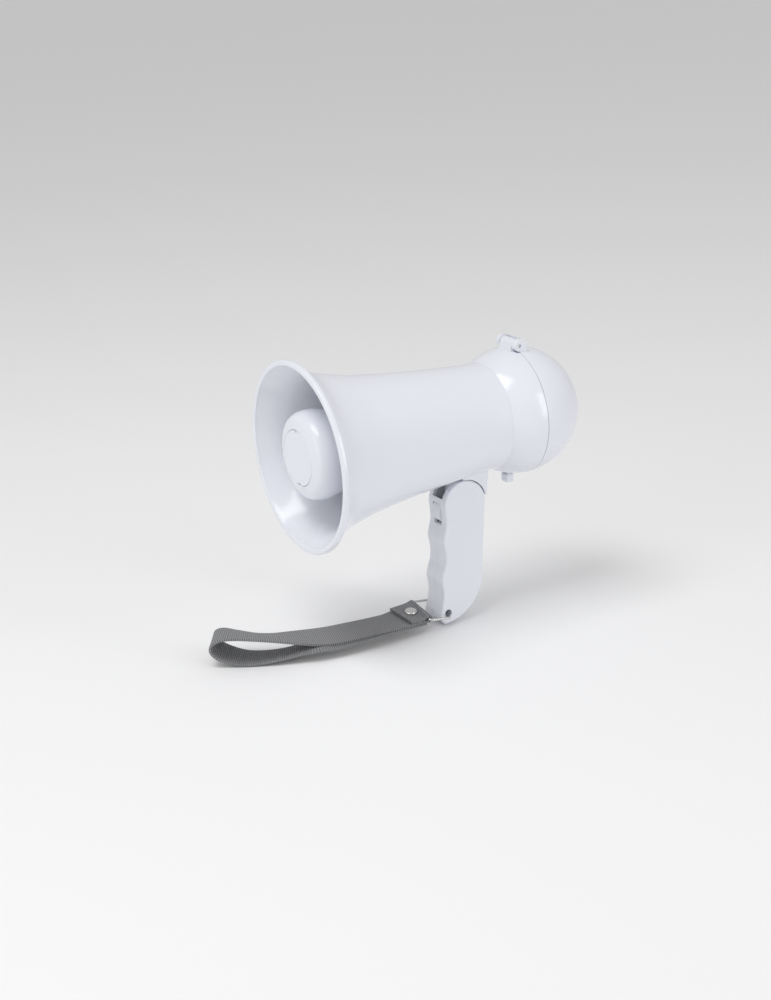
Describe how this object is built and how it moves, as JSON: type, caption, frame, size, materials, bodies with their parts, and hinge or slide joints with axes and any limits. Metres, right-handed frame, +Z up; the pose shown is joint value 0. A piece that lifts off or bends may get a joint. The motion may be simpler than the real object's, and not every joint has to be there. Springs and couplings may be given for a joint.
{
  "type": "handheld_megaphone",
  "caption": "Small white handheld megaphone, 173 mm long: 105 mm horn, ball-shaped hinged rear housing, folding pistol grip with trigger, and a grey webbing wrist strap on a wire ring.",
  "frame": {"origin": "middle of the hand grip, on the object's middle plane", "axes": "+X from the mouth to the rear cover along the horn's axis, +Y to the left of someone talking into it, +Z up"},
  "size_m": [0.2243, 0.105, 0.1666],
  "materials": {
    "white_plastic": "glossy moulded ABS, cool white",
    "black_plastic": "matt black",
    "black_rubber": "soft black rubber",
    "cone_film": "pressed speaker film",
    "dark_steel": "dark plated steel",
    "steel": "plain plated steel",
    "nickel": "bright nickel plate",
    "aluminium_can": "plain aluminium can",
    "board_laminate": "green board laminate",
    "cell_wrap": "plain blue cell wrap",
    "lead_cover": "red lead insulation",
    "webbing": "grey ribbed nylon webbing"
  },
  "bodies": {
    "handle": {"handle_right": "white_plastic", "handle_left": "white_plastic", "handle_pivot": "steel", "handle_screws": "steel", "trigger_switch": "black_plastic", "trigger_spring": "steel"},
    "housing": {"horn_shell": "white_plastic", "rear_case": "white_plastic", "cover_hinge_pin": "steel", "latch_spring": "steel", "reflector": "white_plastic", "reflector_cap": "white_plastic", "speaker_frame": "dark_steel", "speaker_gasket": "black_rubber", "speaker_cone": "cone_film", "speaker_dust_cap": "cone_film", "speaker_magnet": "dark_steel", "speaker_screws": "steel", "speaker_leads": "lead_cover", "circuit_board": "board_laminate", "board_screws": "steel", "amplifier_chip": "black_plastic", "capacitors": "aluminium_can", "battery_tray": "black_plastic", "battery_cells": "cell_wrap", "battery_contacts": "nickel", "battery_leads": "lead_cover", "handle_bracket": "white_plastic", "bracket_screws": "steel"},
    "cover": {"rear_cover": "white_plastic", "microphone_sleeve": "black_rubber", "microphone": "aluminium_can"},
    "latch": {"cover_latch": "white_plastic", "latch_arm": "white_plastic"},
    "trigger": {"trigger": "white_plastic"},
    "ring": {"wrist_ring": "nickel"},
    "strap": {"wrist_strap": "webbing", "strap_rivet": "nickel", "strap_washer": "nickel"}
  },
  "joints": [
    {"name": "handle_fold", "type": "hinge", "parent": "handle", "child": "housing", "pos_m": [0.0033, 0, 0.0302], "axis": [0, -1, 0], "range_deg": [0, 52], "deforming": ["wrist_strap"]},
    {"name": "cover_open", "type": "hinge", "parent": "housing", "child": "cover", "pos_m": [0.0427, 0, 0.1132], "axis": [0, -1, 0], "range_deg": [0, 100]},
    {"name": "latch_rock", "type": "hinge", "parent": "housing", "child": "latch", "pos_m": [0.0373, 0, 0.0432], "axis": [0, 1, 0], "range_deg": [0, 8], "stiffness_Nm_per_rad": 0.02, "deforming": ["latch_spring"]},
    {"name": "trigger_press", "type": "slide", "parent": "handle", "child": "trigger", "axis": [1, 0, 0], "range_m": [0, 0.0012], "stiffness_N_per_m": 300, "deforming": ["trigger_spring"]},
    {"name": "ring_swing", "type": "hinge", "parent": "handle", "child": "ring", "pos_m": [-0.0112, 0, -0.0313], "axis": [0, -1, 0], "range_deg": [-12, 110]},
    {"name": "strap_swing", "type": "hinge", "parent": "ring", "child": "strap", "pos_m": [-0.02468, -0.00027, -0.02952], "axis": [0, -0.989, -0.1478], "range_deg": [-12, 60]}
  ]
}
